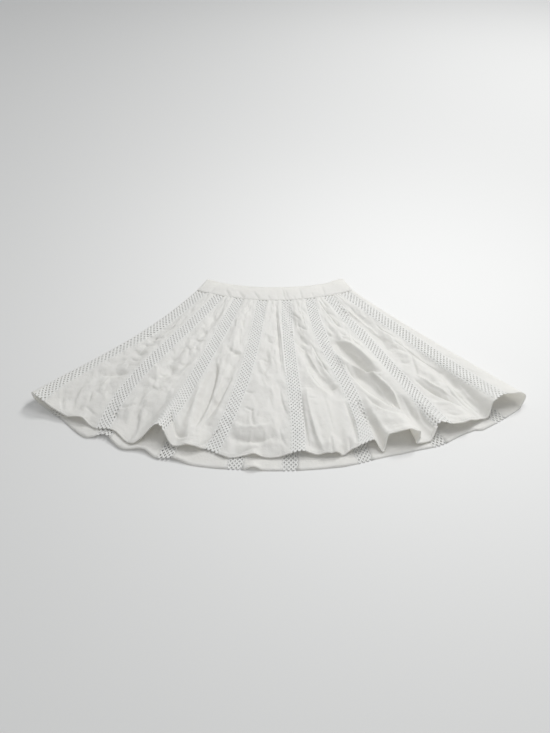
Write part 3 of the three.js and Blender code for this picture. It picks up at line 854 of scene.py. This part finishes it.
def crochet_material():
    """Thick soft yarn."""
    material, tree, shader = new_material("crochet", (0.96, 0.96, 0.94), 0.95, 0.3, 0.25)
    yarn = texture(tree, "ShaderNodeTexNoise", Scale=900, Detail=3)
    tree.links.new(relief(tree, yarn.outputs["Fac"], 0.5, 0.0006), shader.inputs["Normal"])
    return material


COTTON = cotton_material()
CROCHET = crochet_material()

# ---- Pieces ----

GORE_COLUMNS = {"front": 56, "side": 92, "back": 16}
ROWS = {"front": 200, "side": 200, "back": 80}
GATHERS = 3  # on each gore
GATHER_HEIGHT = 2.0
GATHER_SHIFT = 0.2
GATHER_WIDTH = (0.10, 0.18)
GATHER_REACH = (0.08, 0.3)
GATHER_SHARE = (0.6, 1.2)
FLAT_LENGTH = 0.445  # an insertion's length when it was cut, in metres
HEM_STITCH = 5.2  # from the hem's edge to its stitches


def declare(piece, node, slot, flat, area, beneath):
    """Hang a piece under the root body and hide the solid that it stands for; slot, flat, area and
    beneath are not used.
    """
    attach(piece, "root")
    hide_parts(node)


def cut_size(grid):
    """Width, length and area in metres of the cloth in a grid of points, laid out flat."""
    widths = np.linalg.norm(np.diff(grid, axis=1), axis=-1).sum(axis=1) * MM
    lengths = np.linalg.norm(np.diff(grid, axis=0), axis=-1).sum(axis=0) * MM
    flat = (round(float(widths.max()), 3), round(float(lengths.mean()), 3))
    return flat, round(float(widths.mean() * lengths.mean()), 5)


def gore_span(side, before, after, t):
    """Distances along the cloth between which a gore lies, with its seam allowances."""
    start = centre_line(side, before, t)
    end = centre_line(side, after, t)
    trim = np.sign(end - start) * (LACE_WIDTH / 2 - SEAM_ALLOWANCE)
    return start + trim, end - trim


def gathers(u, t, seed):
    """Soft gathers below the waistband, u running across a gore from 0 to 1."""
    rng = np.random.default_rng(seed)
    height = 0
    for k in range(GATHERS):
        centre = (k + 0.5 + rng.uniform(-GATHER_SHIFT, GATHER_SHIFT)) / GATHERS
        width = rng.uniform(*GATHER_WIDTH)
        reach = rng.uniform(*GATHER_REACH)
        hump = np.exp(-(((u - centre) / width) ** 2))
        height = height + hump * (1 - smoothstep(t, 0, reach)) * rng.uniform(*GATHER_SHARE)
    return GATHER_HEIGHT * height


def hem_stitches(side, before, after):
    """The row of stitches that holds up a gore's hem."""
    level = 1 - HEM_STITCH / LENGTH
    start, end = gore_span(side, before, after, np.array(1.0))

    def line(share):
        low, high = gore_span(side, before, after, np.full_like(share, level))
        return lerp(low, high, share), np.full_like(share, level)

    return stitches(side, line, float(abs(end - start)), HEM_CLOTH / 2)


def gore(node, before, after, kind, seed, beneath):
    """A gore between two insertions, with its turned-up hem and its stitches."""
    side = nearer_side(before)
    t = np.linspace(0, 1, ROWS[kind])[:, None]
    u = np.linspace(0, 1, GORE_COLUMNS[kind])[None]
    start, end = gore_span(side, before, after, t)
    grid = cloth(side, lerp(start, end, u), t, gathers(u, t, seed))
    thickness = np.where((1 - t) * LENGTH < HEM_DEPTH, HEM_CLOTH, CLOTH) + 0 * u
    parts = [shell(grid, thickness), hem_stitches(side, before, after)]
    piece = add_mesh(f"cotton_{node}", *joined(parts), COTTON)
    declare(piece, node, "cotton", *cut_size(grid), beneath)


STRANDS = 7  # yarns side by side in an insertion
STRAND_PITCH = 4.0
STRAND_WAVE = 8.8  # length of one swing to and fro
STRAND_SWING = 1.35
STRAND_SIZE = (2.06, 0.55)  # half of a yarn's width and height
NET_LIFT = 0.15
HEADER_LIFT = -0.1
HEADER_IN = 12.4  # from an insertion's centre line to its close edges
HEADER_THICKNESS = 0.5
HEADER_COLUMNS = 3
NET_DETAIL = {"front": (8, 6), "back": (5, 4)}  # samples a wave and sides of a yarn


def net(side, name, waves, samples, sides):
    """Yarns that swing to and fro down an insertion, each against its neighbours."""
    t = np.linspace(0, 1, waves * samples + 1)[None]
    order = np.arange(STRANDS)[:, None]
    swing = STRAND_SWING * np.sin(2 * math.pi * waves * t) * (-1.0) ** order
    across = (order - (STRANDS - 1) / 2) * STRAND_PITCH + swing
    s = centre_line(side, name, t) - side["sign"] * across
    t = np.broadcast_to(t, s.shape)
    centres = cloth(side, s, t, NET_LIFT)
    return strands(centres, outward(side, s, t), STRAND_SIZE, sides)


def header(side, name, low, high, rows):
    """The close edge of an insertion, along which it is sewn."""
    t = np.linspace(0, 1, rows)[:, None]
    across = np.linspace(low, high, HEADER_COLUMNS)[None]
    s = centre_line(side, name, t) - side["sign"] * across
    return shell(cloth(side, s, t, HEADER_LIFT), HEADER_THICKNESS)


def insertion(name, beneath):
    """A strip of crochet: a net of yarns between two close edges."""
    side = nearer_side(name)
    kind = "front" if name in FRONT_NAMES else "back"
    waves = round(LENGTH / STRAND_WAVE)
    rows = ROWS[kind]
    parts = [
        net(side, name, waves, *NET_DETAIL[kind]),
        header(side, name, -LACE_WIDTH / 2, -HEADER_IN, rows),
        header(side, name, HEADER_IN, LACE_WIDTH / 2, rows),
    ]
    node = f"insertion_{name}"
    piece = add_mesh(f"crochet_{node}", *joined(parts), CROCHET)
    declare(piece, node, "crochet", (LACE_WIDTH * MM, FLAT_LENGTH), None, beneath)


BAND_ROWS = 15
BAND_COLUMNS = 150
BAND_FOOT = -0.01  # the band ends just above its seam
BAND_STITCHES = (-0.93, -0.09)
SIDE_SEAM = 0.15  # from a side's outermost line to the edge of a half of the band


def band_stitches(side, facing, level):
    """A row of stitches across half the width of the waistband."""
    reach = float(cloth_distance(side, 0, level))

    def line(share):
        return facing * share * reach, np.full_like(share, level)

    return stitches(side, line, reach, BAND_CLOTH / 2, BAND_WALL)


def waistband(front):
    """The front or back half of the waistband, with its stitches."""
    t = np.linspace(-1, BAND_FOOT, BAND_ROWS)[:, None]
    u = np.linspace(0, 1, BAND_COLUMNS)[None]
    facing = 1 if front else -1
    width = cloth_distance(LEFT, 0, t) + cloth_distance(RIGHT, 0, t) - 2 * SIDE_SEAM
    s = facing * (np.minimum(u, 1 - u) * width + SIDE_SEAM)
    left = cloth(LEFT, s, t, 0, BAND_WALL)
    right = cloth(RIGHT, s, t, 0, BAND_WALL)
    on_left = (u < 0.5) == front
    grid = np.where(on_left[..., None], left, right)
    rows = [
        band_stitches(side, facing, level) for side in (LEFT, RIGHT) for level in BAND_STITCHES
    ]
    node = "waistband_front" if front else "waistband_back"
    piece = add_mesh(f"cotton_{node}", *joined([shell(grid, BAND_CLOTH), *rows]), COTTON)
    declare(piece, node, "waistband", *cut_size(grid), "waistband_back" if front else "floor")


def build_skirt():
    """Every piece, in order round the skirt. Front pieces lie on the back's pieces below them."""
    names = list(INSERTIONS)
    last = len(names) - 1
    for k, name in enumerate(names):
        following = names[(k + 1) % len(names)]
        front = name in FRONT_NAMES
        insertion(name, f"insertion_{names[last - k]}" if front else "floor")
        if name[:4] != following[:4]:
            node = "gore_side_right" if front else "gore_side_left"
            gore(node, name, following, "side", k, "floor")
        elif front:
            gore(f"gore_{name}", name, following, "front", k, f"gore_{names[last - 1 - k]}")
        else:
            gore(f"gore_{name}", name, following, "back", k, "floor")
    waistband(True)
    waistband(False)


# ---- Floor, light and camera ----

FLOOR_HALF = 4000


def build_floor():
    """A plain pale floor."""
    signs = np.array([[-1, -1, 0], [1, -1, 0], [1, 1, 0], [-1, 1, 0]], float)
    pale = new_material("floor", (0.8, 0.8, 0.79), 0.7, 0)[0]
    floor = add_mesh("floor", FLOOR_HALF * signs, np.array([[0, 1, 2, 3]]), pale, False)


def area_light(name, place, target, size, power):
    """A round lamp that faces its target."""
    light = bpy.data.lights.new(name, "AREA")
    light.shape = "DISK"
    light.size = size
    light.energy = power
    lamp = bpy.data.objects.new(name, light)
    lamp.location = place
    lamp.rotation_euler = (Vector(target) - Vector(place)).to_track_quat("-Z", "Y").to_euler()
    bpy.context.scene.collection.objects.link(lamp)


def build_light():
    """A window at the far right, a weak lamp over the skirt, and a pale room."""
    area_light("window", (1.6, 2.0, 2.6), (0.5, 0.6, 0), size=0.8, power=49)
    area_light("overhead", (0.3, 0.14, 1.05), (0.3, 0.14, 0), size=0.5, power=4.4)
    world = bpy.data.worlds.new("studio")
    world.use_nodes = True
    background = world.node_tree.nodes["Background"]
    background.inputs["Color"].default_value = (0.97, 0.985, 1, 1)
    background.inputs["Strength"].default_value = 0.46
    bpy.context.scene.world = world
    bpy.context.scene.view_settings.view_transform = "Standard"


CAMERA_PLACE = (-0.00548, -0.8201, 0.83483)
CAMERA_PITCH = 46  # degrees down from level
CAMERA_LENS = 27.5
CAMERA_SENSOR = 36


def build_camera():
    """A camera at the skirt's hem that looks down at it."""
    camera = bpy.data.cameras.new("camera")
    camera.lens = CAMERA_LENS
    camera.sensor_width = CAMERA_SENSOR
    camera.sensor_fit = "AUTO"
    camera.clip_start = 0.01
    view = bpy.data.objects.new("camera", camera)
    view.location = CAMERA_PLACE
    view.rotation_euler = (math.radians(90 - CAMERA_PITCH), 0, 0)
    bpy.context.scene.collection.objects.link(view)
    bpy.context.scene.camera = view


build_skirt()
build_floor()
build_light()
build_camera()
